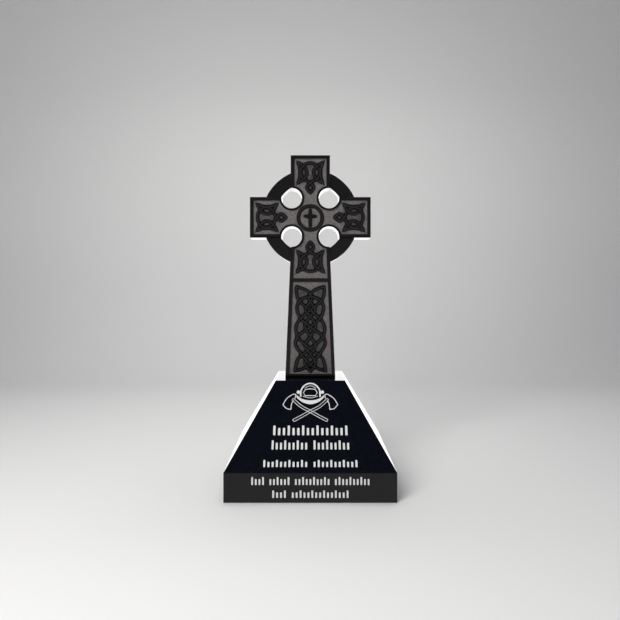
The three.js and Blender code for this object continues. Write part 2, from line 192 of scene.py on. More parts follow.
class HeadstoneSettings(bpy.types.PropertyGroup):
    """All the settings of the headstone"""

    slab: PointerProperty(type=SlabSettings)
    carving: PointerProperty(type=CarvingSettings)
    base: PointerProperty(type=BaseSettings)
    finish: PointerProperty(type=FinishSettings)
    stage: PointerProperty(type=StageSettings)


# Arm motif: shares of the panel's half width, and of its length from the outer end to the medallion
LOOP_HALF_WIDTH = 0.6
LOOP_START = 0.09
LOOP_END = 0.5
LOOP_NECK = 0.53
LOOP_TURNS = (0.28, 0.42, 0.56, 0.7, 0.85)
DROP_HALF_WIDTH = 0.22
DROP_WIDEST = 0.635
DROP_TIP = 0.75
CRESCENT_START = 0.08
CRESCENT_END = 0.535
CRESCENT_OUTSET = 0.78
CRESCENT_BACK_SAG = 0.15
CRESCENT_FRONT_SAG = 0.58

# Long panel's strand: shares of the panel's half width, and of its height from the top down
HIGH_CORNER = (-0.78, 0.05)
LOW_CORNER = (-0.73, 0.97)
INNER_WAVE = [
    HIGH_CORNER, (-0.2, 0.095), (0, 0.14), (0.09, 0.18), (0, 0.22), (-0.26, 0.3),
    (0, 0.375), (0.28, 0.47), (0, 0.596), (-0.26, 0.69), (0, 0.785), (0.25, 0.885), (0, 0.978),
]
OUTER_WAVE = [
    HIGH_CORNER, (-0.78, 0.12), (-0.62, 0.205), (0, 0.307), (0.56, 0.41), (0.75, 0.5),
    (0.6, 0.61), (0, 0.726), (-0.6, 0.84), LOW_CORNER,
]
ARCH_WAVE = [
    (0, 0.159), (-0.55, 0.2), (-0.73, 0.28), (-0.55, 0.385), (0, 0.491), (0.6, 0.585),
    (0.75, 0.67), (0.5, 0.77), (0, 0.9), (-0.4, 0.95), LOW_CORNER,
]

# Rows of strokes: each row's foot and height as shares of its face's, its span and its groups
TAPER_ROWS = [(0.39, 0.105, 0.61, (16,)), (0.24, 0.096, 0.56, (9, 9)), (0.06, 0.073, 0.59, (11, 11))]
BAND_ROWS = [(0.6, 0.27, 0.69, (4, 6, 10, 10)), (0.17, 0.25, 0.45, (4, 15))]

# Emblem of a helmet over crossed axes: shares of its half width and of its height
EMBLEM_FOOT = 0.54
EMBLEM_HEIGHT = 0.44
EMBLEM_SPAN = 0.6
HANDLE = [(-0.63, 0.56), (-0.32, 0.37), (0, 0.25), (0.3, 0.13), (0.6, 0.02)]
BLADE = [(-0.69, 0.3), (-0.84, 0.32), (-0.98, 0.42)]
HEAD = [(-0.98, 0.42), (-0.84, 0.58), (-0.62, 0.69)]
NECK = [(-0.69, 0.3), (-0.67, 0.44), (-0.6, 0.53)]
POLL = [(-0.62, 0.69), (-0.53, 0.68), (-0.54, 0.58)]
BRIM_TOP = [(-0.5, 0.67), (-0.3, 0.57), (0, 0.53), (0.3, 0.57), (0.5, 0.67)]
BRIM_LOW = [(0.49, 0.6), (0.3, 0.49), (0, 0.43), (-0.3, 0.49), (-0.49, 0.6)]
DOME = [(-0.35, 0.62), (-0.33, 0.8), (-0.18, 0.93), (0, 0.97), (0.18, 0.93), (0.33, 0.8), (0.35, 0.62)]
COMB = [(-0.2, 0.84), (-0.1, 0.89), (0, 0.905), (0.1, 0.89), (0.2, 0.84)]
RIDGE = [(-0.27, 0.64), (-0.1, 0.6), (0, 0.592), (0.1, 0.6), (0.27, 0.64)]
VISOR = [(-0.18, 0.81), (0, 0.83), (0.18, 0.81), (0.25, 0.73), (0.19, 0.65), (-0.19, 0.65), (-0.25, 0.73)]
KNOB = (-0.43, 0.74)

# Counts of steps: in a corner of the base, over a strand's top, round a hole, round the ring, in a curve's
# span, in a crescent, in a corner of a stroke and round a knob
ROUND_STEPS = 4
CROWN_STEPS = 8
ARC_STEPS = 64
RING_STEPS = 256
SPAN_STEPS = 24
BOW_STEPS = 8
STROKE_STEPS = 3
KNOB_STEPS = 12

# Strands and bands: their feet's depth below the field, the lean of their sides, the faces up each side
# that stay polished, the least cosine of a mitred corner, and a dip's reach in widths of a strand
SINK = 1 * MM
DRAFT = 0.4 * MM
FLANK_FACES = 3
MITRE_COSINE = 0.36
DIP_REACH = 1.5

# The field's edge: its rounded lip, the lean of its wall and the fillet at the foot
LIP = 0.6 * MM
WALL_LEAN = 0.8 * MM
FILLET = 1.2 * MM

# Rounding of the slab's chamfers, and the angles in degrees beyond which an edge is shaded crisp
SLAB_ROUNDING = 0.4 * MM
CROSS_CREASE = 21
BASE_CREASE = 30

# A narrow flat strip beside each rounded edge of the base, which keeps its large faces flat to the eye
FLAT_STEP = 1.5 * MM

# Strokes and emblem: one stroke in three is tall, the cutters stand this far above the stone's face, and
# the emblem's curves have a point at each step
TALL_EVERY = 3
CUTTER_HEIGHT = 4 * MM
EMBLEM_STEP = 2.5 * MM

# The field's rows of points lie this share of a step apart. Points nearer than the second value are one,
# and two lines that span less area than the third are parallel
ROW_PITCH = 0.866
SAME_POINT = 1e-6
LEAST_AREA = 1e-15

# Scales of the patterns. Real grit leaves pits of about half a millimetre, drawn coarser here to show
CRYSTAL_SIZE = 2.2 * MM
BLAST_PIT_SIZE = 1.6 * MM
MOTTLE_SIZE = 9 * MM
BRUSH_SIZE = 3 * MM

# Most of a noise pattern lies between the first levels; pits and mottling scale the colour by the others
NOISE_SPAN = (0.3, 0.7)
PIT_TONES = (0.55, 1.45)
MOTTLE_TONES = (0.5, 1.5)
GRANITE_IOR = 1.54

# How far the painted shade and the shallow dish beside the carving reach into the field, and how the strands
# round a point are counted for the painted shade inside a knot: by the sectors of a circle that hold one,
# between the share that shades nothing and the share that shades fully
HOLLOW_AND_PAINTED_SHADE_REACH = 6.5 * MM
HOLLOW_AND_PAINTED_SHADE_LIMIT = 2.2 * HOLLOW_AND_PAINTED_SHADE_REACH
ENCLOSURE_REACH = 34 * MM
ENCLOSURE_SECTORS = 14
ENCLOSURE_STRIDE = 3
OPEN_SHARE = 0.55
CLOSED_SHARE = 0.95

# Brightness of the room: in front from below to above, and from the front round to the back
ROOM_BRIGHTNESS = 1.8
FRONT_GLOW = [
    (0.0, (0.24, 0.24, 0.24)), (0.35, (0.16, 0.16, 0.16)), (0.52, (0.11, 0.11, 0.11)),
    (0.72, (0.06, 0.06, 0.065)), (1.0, (0.012, 0.022, 0.05)),
]
BACK_LEVELS = [(0.0, 0.12), (0.5, 0.07), (0.8, 0.2), (0.94, 0.4), (0.982, 0.92), (1.0, 1.25)]
BACK_GLOW = [(position, (level, level, level)) for position, level in BACK_LEVELS]

# Soft boxes, in metres and watts: place, target, width, height and power
SOFT_BOXES = {
    "front_soft_box": ((-1.6, -3.2, 2.6), (0, 0, 0.7), 2.0, 2.0, 158),
    "top_soft_box": ((0, 0.6, 3.4), (0, 0, 0.7), 2.4, 1.6, 40),
    "backdrop_soft_box": ((0, 1.4, 2.4), (0, 3.6, 0.6), 3.4, 1.0, 14),
}

# Sheet of studio paper, in metres: its front edge, where it bends up, the bend's radius and its top edge
PAPER_FRONT = -6.0
PAPER_BEND = 2.2
PAPER_RADIUS = 1.4
PAPER_TOP = 5.5
PAPER_HALF_WIDTH = 6.0
PAPER_STEPS = 12


# Materials


def node(tree, kind, settings=None, **links):
    """Adds one shader node; a link is a socket of another node, anything else is a plain value."""
    made = tree.nodes.new(kind)
    for name, value in (settings or {}).items():
        setattr(made, name, value)
    for name, value in links.items():
        socket = made.inputs[name.replace("_", " ")]
        if isinstance(value, bpy.types.NodeSocket):
            tree.links.new(value, socket)
        else:
            socket.default_value = value
    return made


def set_stops(made, stops):
    """Sets a colour ramp's stops from pairs of a position and a colour."""
    elements = made.color_ramp.elements
    while len(elements) < len(stops):
        elements.new(0.5)
    for element, (position, shade) in zip(elements, stops):
        element.position = position
        element.color = (*shade, 1)


def dimmed(shade, factor):
    """The colour made darker or lighter by a factor."""
    return [channel * factor for channel in shade]


def material(name):
    """A new material with an empty node tree."""
    made = bpy.data.materials.new(name)
    made.use_nodes = True
    made.node_tree.nodes.clear()
    return made, made.node_tree


def polished_black_granite(finish):
    """Black granite ground to a mirror: near black, glassy, with faint paler crystals under the gloss."""
    made, tree = material("polished_black_granite")
    place = node(tree, "ShaderNodeTexCoord").outputs["Object"]
    cells = node(tree, "ShaderNodeTexVoronoi", {"feature": "F1"}, Vector=place, Scale=1 / CRYSTAL_SIZE)
    pick = node(tree, "ShaderNodeSeparateColor", Color=cells.outputs["Color"])
    fleck = node(tree, "ShaderNodeValToRGB", Fac=pick.outputs["Red"])
    set_stops(fleck, [(0.8, finish.polished), (0.98, finish.crystal)])
    shade = fleck.outputs["Color"]
    shader = node(tree, "ShaderNodeBsdfPrincipled", Base_Color=shade, Roughness=0.03, IOR=GRANITE_IOR)
    node(tree, "ShaderNodeOutputMaterial", Surface=shader.outputs["BSDF"])
    return made


def sandblasted_black_granite(finish):
    """The same stone cut back by grit: matt, grey with crushed crystals, pitted, a little warm, with painted
    shade beside and between the strands.
    """
    made, tree = material("sandblasted_black_granite")
    place = node(tree, "ShaderNodeTexCoord").outputs["Object"]
    pits = node(tree, "ShaderNodeTexNoise", Vector=place, Scale=1 / BLAST_PIT_SIZE, Detail=4.0, Roughness=0.6)
    mottle = node(tree, "ShaderNodeTexNoise", Vector=place, Scale=1 / MOTTLE_SIZE, Detail=5.0, Roughness=0.7)
    hollow_and_painted_shade = node(tree, "ShaderNodeAttribute", {"attribute_name": "hollow_and_painted_shade"})
    painted_enclosed_shade = node(tree, "ShaderNodeAttribute", {"attribute_name": "painted_enclosed_shade"})
    # Painted shade: the grey field darkens towards a near-black colour close beside the strands
    stone = node(tree, "ShaderNodeValToRGB", Fac=hollow_and_painted_shade.outputs["Fac"])
    set_stops(stone, [(0.07, finish.blasted), (0.45, finish.hollow_and_painted_shade)])
    shade = stone.outputs["Color"]
    # Pits and mottling vary the tone at random; the last factor darkens cells that strands enclose, as
    # painted shade
    for pattern, span, tones in (
        (pits, NOISE_SPAN, PIT_TONES),
        (mottle, NOISE_SPAN, MOTTLE_TONES),
        (painted_enclosed_shade, (0.0, 1.0), (1.0, 0.0)),
    ):
        limits = {"From_Min": span[0], "From_Max": span[1], "To_Min": tones[0], "To_Max": tones[1]}
        tone = node(tree, "ShaderNodeMapRange", Value=pattern.outputs["Fac"], **limits).outputs["Result"]
        scaled = node(tree, "ShaderNodeVectorMath", {"operation": "SCALE"}, Vector=shade, Scale=tone)
        shade = scaled.outputs["Vector"]
    bump = node(tree, "ShaderNodeBump", Strength=0.5, Distance=0.4 * MM, Height=pits.outputs["Fac"])
    shader = node(tree, "ShaderNodeBsdfPrincipled", Base_Color=shade, Roughness=0.82, IOR=GRANITE_IOR)
    tree.links.new(bump.outputs["Normal"], shader.inputs["Normal"])
    node(tree, "ShaderNodeOutputMaterial", Surface=shader.outputs["BSDF"])
    return made


def honed_black_granite(finish):
    """The same stone rubbed smooth by hand but not polished: near black, with a soft sheen."""
    made, tree = material("honed_black_granite")
    place = node(tree, "ShaderNodeTexCoord").outputs["Object"]
    rub = node(tree, "ShaderNodeTexNoise", Vector=place, Scale=1 / MOTTLE_SIZE, Detail=6.0, Roughness=0.65)
    tone = node(tree, "ShaderNodeValToRGB", Fac=rub.outputs["Fac"])
    set_stops(tone, [(0.3, dimmed(finish.honed, 0.45)), (0.7, dimmed(finish.honed, 1.5))])
    shade = tone.outputs["Color"]
    bump = node(tree, "ShaderNodeBump", Strength=0.25, Distance=0.3 * MM, Height=rub.outputs["Fac"])
    shader = node(tree, "ShaderNodeBsdfPrincipled", Base_Color=shade, Roughness=0.3, IOR=GRANITE_IOR)
    tree.links.new(bump.outputs["Normal"], shader.inputs["Normal"])
    node(tree, "ShaderNodeOutputMaterial", Surface=shader.outputs["BSDF"])
    return made


def white_enamel_paint(finish):
    """Enamel brushed into cut strokes: a slightly dull white, softly uneven over the rough stone."""
    made, tree = material("white_enamel_paint")
    place = node(tree, "ShaderNodeTexCoord").outputs["Object"]
    cover = node(tree, "ShaderNodeTexNoise", Vector=place, Scale=1 / BRUSH_SIZE, Detail=3.0)
    tone = node(tree, "ShaderNodeValToRGB", Fac=cover.outputs["Fac"])
    set_stops(tone, [(0.2, dimmed(finish.paint, 0.86)), (0.55, finish.paint)])
    shade = tone.outputs["Color"]
    bump = node(tree, "ShaderNodeBump", Strength=0.3, Distance=0.2 * MM, Height=cover.outputs["Fac"])
    shader = node(tree, "ShaderNodeBsdfPrincipled", Base_Color=shade, Roughness=0.5, IOR=1.5)
    tree.links.new(bump.outputs["Normal"], shader.inputs["Normal"])
    node(tree, "ShaderNodeOutputMaterial", Surface=shader.outputs["BSDF"])
    return made


# Places of the finishes in a piece's list of materials: the cross is honed, the base is painted
POLISHED, BLASTED, HONED = 0, 1, 2
PAINTED = 1


# Shapes in the plane of the cross: x to the right and y up from the middle of the arms


def arc_points(centre, radius, start, end, steps):
    """Points on an arc, from one angle to another, both ends included."""
    for i in range(steps + 1):
        angle = start + (end - start) * i / steps
        yield centre + radius * Vector((math.cos(angle), math.sin(angle)))


def leaving_angle(centre, radius, a, b):
    """The angle at which a hole's circle leaves a side of the cross that runs from a to b."""
    along = (b - a).normalized()
    foot = a + along * (centre - a).dot(along)
    point = foot + along * math.sqrt(radius**2 - (foot - centre).length_squared)
    return math.atan2(point.y - centre.y, point.x - centre.x)


def shaft_half(slab, drop):
    """Half the tapered shaft's width, at a drop below the middle of the arms."""
    top, foot = slab.shaft_top_width, slab.shaft_foot_width
    return (top + (foot - top) * drop / slab.centre_height) / 2


def shaft_slant(slab, inset):
    """The level width that an inset takes off the slanted side of the shaft."""
    slope = (slab.shaft_foot_width - slab.shaft_top_width) / (2 * slab.centre_height)
    return inset * math.hypot(1, slope)


def mirror(points):
    """The same points on the left, in the order that carries the outline on."""
    return [Vector((-p.x, p.y)) for p in reversed(points)]


def cross_outline(slab, inset, rim, foot):
    """The cross's outline drawn inwards by inset and round the holes by rim, down to the height foot."""
    radius = slab.hole_radius + rim
    top_rise = CROSS_HEIGHT - slab.centre_height
    top = top_rise - inset
    reach = ARM_REACH - inset
    arm = slab.arm_height / 2 - inset
    half = slab.top_arm_width / 2 - inset

    def shaft(y):
        return Vector((shaft_half(slab, -y) - shaft_slant(slab, inset), y))

    high = Vector((slab.hole_offset_x, slab.hole_offset_y))
    low = Vector((slab.hole_offset_x, -slab.hole_offset_y))
    low_start = leaving_angle(low, radius, shaft(0), shaft(foot))
    low_end = leaving_angle(low, radius, Vector((0, -arm)), Vector((reach, -arm)))
    high_start = leaving_angle(high, radius, Vector((0, arm)), Vector((reach, arm)))
    high_end = leaving_angle(high, radius, Vector((half, 0)), Vector((half, top)))
    full = 2 * math.pi
    low_end -= full if low_end > low_start else 0
    high_end -= full if high_end > high_start else 0
    right = [
        shaft(foot),
        *arc_points(low, radius, low_start, low_end, ARC_STEPS),
        Vector((reach, -arm)),
        Vector((reach, arm)),
        *arc_points(high, radius, high_start, high_end, ARC_STEPS),
        Vector((half, top)),
    ]
    return right + mirror(right)


def upper_field(slab, inset):
    """The sunk field above the bar, drawn inwards by inset from the border and the rims."""
    return cross_outline(slab, slab.border + inset, slab.rim + inset, -slab.bar_drop + inset)


def lower_field(slab, inset):
    """The sunk field of the long panel, drawn inwards by inset."""
    top = -(slab.bar_drop + slab.bar_width) - inset
    foot = -slab.centre_height + slab.border + inset
    slant = shaft_slant(slab, slab.border + inset)
    right = [Vector((shaft_half(slab, -y) - slant, y)) for y in (foot, top)]
    return right + mirror(right)


# Mesh making. A point of the cross's plane goes to (x, -height, y), with height towards the front


class Stone:
    """A mesh under way, with a material for each face."""

    def __init__(self):
        self.mesh = bmesh.new()
        # Amounts of painted shade at each vertex of the field: close beside the strands, and inside cells
        # that strands enclose
        self.hollow_and_painted_shade = self.mesh.verts.layers.float.new("hollow_and_painted_shade")
        self.painted_enclosed_shade = self.mesh.verts.layers.float.new("painted_enclosed_shade")

    def loop(self, points, height):
        """A row of vertices at one height above the slab's middle plane."""
        return [self.mesh.verts.new((p.x, -height, p.y)) for p in points]

    def join(self, first, second, finish, closed=True):
        """Quads between two rows of the same length; second lies above or inside first."""
        count = len(first)
        for i in range(count if closed else count - 1):
            j = (i + 1) % count
            face = self.mesh.faces.new((first[i], first[j], second[j], second[i]))
            face.material_index = finish

    def cap(self, loops, finish, up=True):
        """Fills a flat region bounded by the first row, less the others."""
        corners = [[v.co for v in row] for row in loops]
        flat = [v for row in loops for v in row]
        for triangle in tessellate_polygon(corners):
            face = self.mesh.faces.new([flat[i] for i in triangle])
            face.material_index = finish
            face.normal_update()
            if (face.normal.y < 0) != up:
                face.normal_flip()

    def shell(self, rows, finishes):
        """Joins each row to the next, with a finish for each step."""
        for (first, second), finish in zip(zip(rows, rows[1:]), finishes):
            self.join(first, second, finish)

    def finished(self, name, materials):
        """Ends the work on the mesh and makes an object of it."""
        data = bpy.data.meshes.new(name)
        bmesh.ops.recalc_face_normals(self.mesh, faces=self.mesh.faces)
        self.mesh.to_mesh(data)
        self.mesh.free()
        for made in materials:
            data.materials.append(made)
        piece = bpy.data.objects.new(name, data)
        bpy.context.scene.collection.objects.link(piece)
        return piece


def slab_body(stone, slab, carving, measure):
    """The slab: chamfered outline, plain back, raised border with both sunk fields in front."""
    front = THICKNESS / 2
    chamfer = slab.chamfer
    soft = SLAB_ROUNDING
    foot = -slab.centre_height
    edge = [(chamfer + soft, 0), (chamfer - soft, soft), (soft, chamfer - soft), (0, chamfer + soft)]

    def outline(inset, height):
        return stone.loop(cross_outline(slab, inset, inset, foot + inset), height)

    rows = [outline(inset, -front + drop) for inset, drop in edge]
    rows += [outline(inset, front - drop) for inset, drop in reversed(edge)]
    stone.shell(rows, [POLISHED] * (len(rows) - 1))
    stone.cap([rows[0]], POLISHED, up=False)
    deep = slab.field_depth
    wall = [
        (-LIP, 0), (-LIP * 0.3, LIP * 0.3), (0, LIP), (WALL_LEAN, deep - FILLET),
        (WALL_LEAN + FILLET * 0.4, deep - FILLET * 0.35), (WALL_LEAN + FILLET * 1.2, deep),
    ]
    openings = []
    for field in (upper_field, lower_field):
        steps = [stone.loop(field(slab, inset), front - drop) for inset, drop in wall]
        stone.shell(steps, [POLISHED, POLISHED, BLASTED, BLASTED, BLASTED])
        fine_floor(stone, steps[-1], carving, measure)
        openings.append(steps[0])
    stone.cap([rows[-1], *openings], POLISHED)


def turned(stone, profile, finishes, steps, middle=0.0):
    """A closed ring turned about a point of the upright's axis; profile holds (radius, height) points."""
    columns = []
    for i in range(steps):
        angle = 2 * math.pi * i / steps
        way = Vector((math.cos(angle), math.sin(angle)))
        columns.append([stone.mesh.verts.new((way.x * r, -h, middle + way.y * r)) for r, h in profile])
    count = len(profile)
    for i in range(steps):
        here, there = columns[i], columns[(i + 1) % steps]
        for k in range(count):
            n = (k + 1) % count
            face = stone.mesh.faces.new((here[k], here[n], there[n], there[k]))
            face.material_index = finishes[k]


def ring(stone, slab):
    """The ring behind the cross's face, chamfered on all its edges."""
    face = THICKNESS / 2 - slab.ring_recess
    low, high, cut = slab.ring_inner, slab.ring_outer, slab.ring_chamfer
    profile = [
        (low, -face + cut), (low + cut, -face), (high - cut, -face), (high, -face + cut),
        (high, face - cut), (high - cut, face), (low + cut, face), (low, face - cut),
    ]
    turned(stone, profile, [POLISHED] * len(profile), RING_STEPS)


def raised_profile(inner, outer, low, high):
    """Section of a raised band with softly rounded shoulders."""
    soft = 1.3 * MM
    rubbed = (outer - inner) * 0.28
    side = [
        (-DRAFT, low), (0, high - soft), (soft * 0.3, high - soft * 0.3), (soft, high), (rubbed, high),
    ]
    points = [(inner + x, y) for x, y in side] + [(outer - x, y) for x, y in reversed(side)]
    finishes = [POLISHED] * len(points)
    finishes[len(side) - 1] = HONED
    return points, finishes


def medallion(stone, slab, carving):
    """The band round the middle and the small cross inside it."""
    field = THICKNESS / 2 - slab.field_depth
    low = field - SINK
    high = field + carving.strand_height
    outer = carving.medallion_radius
    profile, finishes = raised_profile(outer - carving.medallion_band, outer, low, high)
    middle = -carving.medallion_drop
    turned(stone, profile, finishes, RING_STEPS // 2, middle)

    half, length = carving.small_cross_width / 2, carving.small_cross_length / 2
    span, rise = carving.small_cross_span / 2, carving.small_cross_rise

    def outline(inset):
        h, l, s = half - inset, length - inset, span - inset
        corners = [
            (h, -l), (h, rise - h), (s, rise - h), (s, rise + h), (h, rise + h), (h, l),
            (-h, l), (-h, rise + h), (-s, rise + h), (-s, rise - h), (-h, rise - h), (-h, -l),
        ]
        return [Vector((x, y + middle)) for x, y in corners]

    soft = 0.8 * MM
    side = [(-0.5 * MM, low), (0, high - soft), (soft * 0.3, high - soft * 0.3), (soft, high)]
    rows = [stone.loop(outline(inset), height) for inset, height in side]
    stone.shell(rows, [POLISHED] * 3)
    stone.cap([rows[-1]], POLISHED)


# Knotwork strands


def evenly(points, step):
    """The same path in even steps of about the given length."""
    lengths = [0.0]
    for p, q in zip(points, points[1:]):
        lengths.append(lengths[-1] + (q - p).length)
    steps = max(4, round(lengths[-1] / step))
    even = []
    at = 0
    for i in range(steps + 1):
        wanted = lengths[-1] * i / steps
        while at < len(lengths) - 2 and lengths[at + 1] < wanted:
            at += 1
        part = (wanted - lengths[at]) / (lengths[at + 1] - lengths[at])
        even.append(points[at].lerp(points[at + 1], min(part, 1)))
    return even


def spline(stations, step):
    """Points a step apart on a smooth centripetal curve through the stations."""
    points = [Vector(s) for s in stations]
    ends = [points[0] * 2 - points[1], *points, points[-1] * 2 - points[-2]]
    fine = []
    for a, b, c, d in zip(ends, ends[1:], ends[2:], ends[3:]):
        u, v, w = (math.sqrt((q - p).length) for p, q in ((a, b), (b, c), (c, d)))
        out = ((b - a) / u - (c - a) / (u + v) + (c - b) / v) * v if u > 0 else c - b
        into = ((c - b) / v - (d - b) / (v + w) + (d - c) / w) * v if w > 0 else c - b
        bezier = interpolate_bezier(b, b + out / 3, c - into / 3, c, SPAN_STEPS)
        fine += [Vector(p[:2]) for p in bezier[:-1]]
    return evenly([*fine, points[-1]], step)


def flipped(stations):
    """The same stations on the other side of the axis."""
    return [(-x, y) for x, y in stations]


def arm_motif():
    """A loop that crosses itself above a drop, between two crescents, as runs of stations."""
    centre = (LOOP_START + LOOP_END) / 2
    radius = (LOOP_END - LOOP_START) / 2
    circle = []
    for turn in LOOP_TURNS:
        angle = math.pi * (0.5 + turn)
        circle.append((LOOP_HALF_WIDTH * math.cos(angle), centre + radius * math.sin(angle)))
    half = [(0, DROP_TIP), (DROP_HALF_WIDTH, DROP_WIDEST), (0, LOOP_NECK), *circle]
    loop = [[*half, (0, LOOP_START), *reversed(flipped(half))]]

    def bow(sag):
        length = CRESCENT_END - CRESCENT_START
        shares = [i / BOW_STEPS for i in range(BOW_STEPS + 1)]
        return [(CRESCENT_OUTSET - sag * 4 * s * (1 - s), CRESCENT_START + length * s) for s in shares]

    back = bow(CRESCENT_BACK_SAG)
    front = bow(CRESCENT_FRONT_SAG)[::-1]
    return [loop, [back, front], [flipped(back), flipped(front)]]


def arm_knots(slab, carving):
    """The motif laid in the four arm panels."""
    top_half = slab.top_arm_width / 2 - slab.border
    arm_half = slab.arm_height / 2 - slab.border
    top_reach = CROSS_HEIGHT - slab.centre_height - slab.border
    arm_reach = ARM_REACH - slab.border
    panels = [
        (top_reach, lambda y: top_half),
        (arm_reach, lambda y: arm_half),
        (slab.bar_drop - carving.lower_lift, lambda y: shaft_half(slab, y) - slab.border),
        (arm_reach, lambda y: arm_half),
    ]
    knots = []
    for quarters, (outer, half) in enumerate(panels):
        turn = quarters * math.pi / 2
        cos, sin = math.cos(turn), math.sin(turn)

        def place(station):
            y = outer + (carving.medallion_radius - outer) * station[1]
            x = station[0] * half(y)
            return (x * cos - y * sin, x * sin + y * cos)

        knots.append([[list(map(place, run)) for run in strand] for strand in arm_motif()])
    return knots


def shaft_knot(slab):
    """The long panel's single strand, as runs between its sharp corners."""
    top = -(slab.bar_drop + slab.bar_width)
    foot = -slab.centre_height + slab.border

    def place(station):
        y = top + (foot - top) * station[1]
        return (station[0] * (shaft_half(slab, -y) - slab.border), y)

    inner, outer, arch = ([place(s) for s in wave] for wave in (INNER_WAVE, OUTER_WAVE, ARCH_WAVE))
    return [[
        inner,
        flipped(inner)[::-1],
        flipped(outer),
        [*reversed(flipped(arch)), *arch[1:]],
        outer[::-1],
    ]]


def sampled(strand, step):
    """A strand as one closed row of points, with the place where each of its runs begins."""
    points, starts = [], []
    for stations in strand:
        starts.append(len(points))
        points += spline(stations, step)[:-1]
    return points, starts


def crossing(a, b, c, d):
    """Where two straight pieces cross, as shares along each, or None."""
    r, s, gap = b - a, d - c, c - a
    area = r.x * s.y - r.y * s.x
    if abs(area) < LEAST_AREA:
        return None
    t = (gap.x * s.y - gap.y * s.x) / area
    u = (gap.x * r.y - gap.y * r.x) / area
    return (t, u) if 0 <= t < 1 and 0 <= u < 1 else None


def crossings(first, second):
    """Every crossing of two rows of points, or of one with itself, as places counted in samples."""
    same = first is second
    found = []
    for m, a in enumerate(first):
        b = first[(m + 1) % len(first)]
        reach = (b - a).length * 2
        for n in range(m + 2 if same else 0, len(second)):
            c = second[n]
            if abs(c.x - a.x) > reach or abs(c.y - a.y) > reach:
                continue
            if same and (n + 1) % len(second) == m:
                continue
            shares = crossing(a, b, c, second[(n + 1) % len(second)])
            if shares:
                found.append((m + shares[0], n + shares[1]))
    return found


def weave(rows):
    """Makes each strand go over and under by turns: its passes in order, each with its place."""
    passes = [[] for _ in rows]
    for i, first in enumerate(rows):
        for j in range(i, len(rows)):
            for m, n in crossings(first, rows[j]):
                one = {"at": m, "over": None}
                two = {"at": n, "over": None, "other": one}
                one["other"] = two
                passes[i].append(one)
                passes[j].append(two)
    for row in passes:
        row.sort(key=lambda p: p["at"])
    waiting = list(passes)
    while waiting:
        tied = next((i for i, row in enumerate(waiting) if any(p["over"] is not None for p in row)), 0)
        row = waiting.pop(tied)
        known = next((i for i, p in enumerate(row) if p["over"] is not None), 0)
        first = row[known]["over"] if row and row[known]["over"] is not None else True
        for i, p in enumerate(row):
            p["over"] = first if (i - known) % 2 == 0 else not first
            p["other"]["over"] = not p["over"]
    return passes


def strand_dip(passes, count, at, reach):
    """How far under its full height a strand is at a sample: 1 at an under-pass, 0 away from it."""
    deepest = 0.0
    for p in passes:
        if p["over"]:
            continue
        gap = abs(at - p["at"])
        gap = min(gap, count - gap)
        if gap < reach:
            deepest = max(deepest, (1 + math.cos(math.pi * gap / reach)) / 2)
    return deepest


def strand_mesh(stone, points, starts, dips, slab, carving):
    """Sweeps the strand's section round its closed row of points, mitred at its sharp corners."""
    field = THICKNESS / 2 - slab.field_depth
    half = carving.strand_width / 2
    section = [(-half - DRAFT, None)]
    for k in range(CROWN_STEPS + 1):
        angle = math.pi * (1 - k / CROWN_STEPS)
        section.append((half * math.cos(angle), carving.crown * (math.sin(angle) - 1)))
    section.append((half + DRAFT, None))
    faces = len(section) - 1
    count = len(points)
    rings = []
    for i, point in enumerate(points):
        into = (point - points[i - 1]).normalized()
        out = (points[(i + 1) % count] - point).normalized()
        along = (into + out).normalized()
        side = Vector((-along.y, along.x))
        stretch = 1 / max(abs(along.dot(out)), MITRE_COSINE) if i in starts else 1.0
        high = field + carving.strand_height - dips[i] * carving.strand_dip
        row = []
        for across, drop in section:
            place = point + side * across * stretch
            level = field - SINK if drop is None else high + drop
            row.append(stone.mesh.verts.new((place.x, -level, place.y)))
        rings.append(row)
    for i, here in enumerate(rings):
        there = rings[(i + 1) % count]
        for k in range(faces):
            face = stone.mesh.faces.new((here[k], there[k], there[k + 1], here[k + 1]))
            face.material_index = HONED if FLANK_FACES <= k < faces - FLANK_FACES else POLISHED


def woven_strands(slab, carving):
    """Every strand of the five panels: its points, its corners and its dips under others."""
    found = []
    for strands in [*arm_knots(slab, carving), shaft_knot(slab)]:
        rows = [sampled(strand, carving.strand_step) for strand in strands]
        passes = weave([points for points, _ in rows])
        reach = carving.strand_width * DIP_REACH / carving.strand_step
        for (points, starts), own in zip(rows, passes):
            dips = [strand_dip(own, len(points), i, reach) for i in range(len(points))]
            found.append((points, set(starts), dips))
    return found


# The sunk field between the carving


def point_tree(points):
    """A tree that finds the points near a place."""
    tree = KDTree(len(points))
    for i, point in enumerate(points):
        tree.insert((point.x, point.y, 0), i)
    tree.balance()
    return tree


def medallion_lines(carving):
    """Points along the middle of the medallion's band and of the small cross's bars."""
    middle = Vector((0, -carving.medallion_drop))
    radius = carving.medallion_radius - carving.medallion_band / 2
    around = round(2 * math.pi * radius / carving.strand_step)
    points = list(arc_points(middle, radius, 0, 2 * math.pi, around))
    length, span = carving.small_cross_length / 2, carving.small_cross_span / 2
    rise = carving.small_cross_rise
    for start, end in (((0, -length), (0, length)), ((-span, rise), (span, rise))):
        start, end = Vector(start), Vector(end)
        steps = round((end - start).length / carving.strand_step)
        points += [middle + start.lerp(end, i / steps) for i in range(steps + 1)]
    return points


